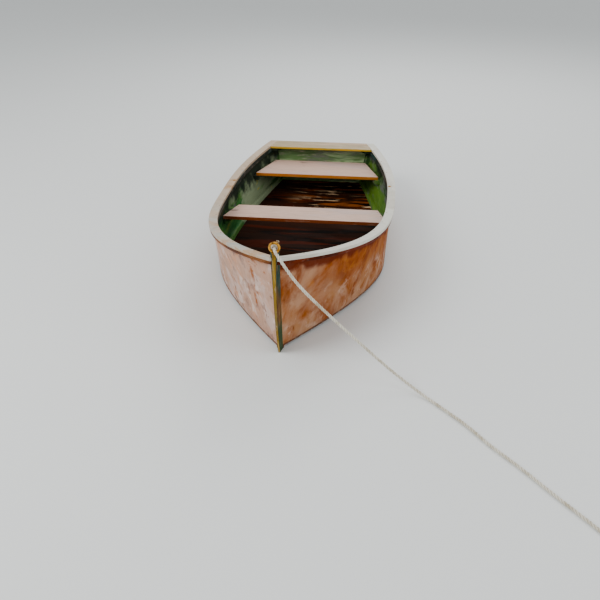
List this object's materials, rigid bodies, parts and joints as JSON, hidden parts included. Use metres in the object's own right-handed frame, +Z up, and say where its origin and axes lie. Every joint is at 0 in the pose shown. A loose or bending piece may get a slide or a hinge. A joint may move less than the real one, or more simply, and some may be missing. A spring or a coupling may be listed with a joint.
{
  "type": "rowing skiff",
  "caption": "Small flat-bottomed wooden rowing skiff with pointed bow, transom stern, wide gunwale caps, thwarts, bronze stem eye, drain plug and a painter rope.",
  "frame": {"origin": "centre of the boat's footprint at the level its keel, skeg and bilge runners rest on, without the painter rope", "axes": "+X forward to the bow along the keel, +Y to port, +Z up"},
  "size_m": [4.1413, 2.3061, 0.751],
  "materials": {
    "hull_paint": "worn pink and ochre paint on wood",
    "bottom_boards": "dark wet timber",
    "stem_paint": "olive and ochre paint on wood",
    "rub_rail_paint": "ochre paint on wood",
    "gunwale_paint": "cream paint on wood",
    "thwart_paint": "pinkish cream paint on wood",
    "transom_paint": "grey-green paint on wood",
    "interior_paint": "green paint on wood",
    "bronze": "cast bronze",
    "rope": "three-strand laid rope"
  },
  "bodies": {
    "hull": {"bilge_runner_port": "hull_paint", "bilge_runner_starboard": "hull_paint", "bottom_plank_01": "bottom_boards", "bottom_plank_02": "bottom_boards", "bottom_plank_03": "bottom_boards", "bottom_plank_04": "bottom_boards", "bottom_plank_05": "bottom_boards", "bottom_plank_06": "bottom_boards", "bottom_plank_07": "bottom_boards", "bottom_plank_08": "bottom_boards", "bottom_plank_09": "bottom_boards", "bottom_plank_10": "bottom_boards", "breasthook": "interior_paint", "cap_screws": "bronze", "chine_log_port": "interior_paint", "chine_log_starboard": "interior_paint", "drain_socket": "bronze", "eye_bolt": "bronze", "front_seat_cleat_port": "interior_paint", "front_seat_cleat_starboard": "interior_paint", "front_thwart": "thwart_paint", "gunwale_cap_port": "gunwale_paint", "gunwale_cap_starboard": "gunwale_paint", "inner_stem": "interior_paint", "inwale_port": "interior_paint", "inwale_starboard": "interior_paint", "keel": "hull_paint", "outwale_port": "rub_rail_paint", "outwale_starboard": "rub_rail_paint", "painter_end_loop": "rope", "painter_rope": "rope", "quarter_knee_port": "interior_paint", "quarter_knee_starboard": "interior_paint", "rear_seat_cleat_port": "interior_paint", "rear_seat_cleat_starboard": "interior_paint", "rear_thwart": "thwart_paint", "rowlock_socket_port": "bronze", "rowlock_socket_starboard": "bronze", "side_board_lower_port": "hull_paint", "side_board_lower_starboard": "hull_paint", "side_board_upper_port": "hull_paint", "side_board_upper_starboard": "hull_paint", "skeg": "hull_paint", "stem": "stem_paint", "stopper_knot": "rope", "thwart_screws": "bronze", "transom_board_lower": "transom_paint", "transom_board_upper": "transom_paint", "transom_cap": "gunwale_paint", "transom_cleat_port": "interior_paint", "transom_cleat_starboard": "interior_paint"},
    "drain_plug": {"drain_plug": "bronze"}
  },
  "joints": [
    {"name": "drain_plug_pull", "type": "slide", "parent": "hull", "child": "drain_plug", "axis": [-0.9713, 0, -0.2378], "range_m": [0, 0.03]}
  ]
}
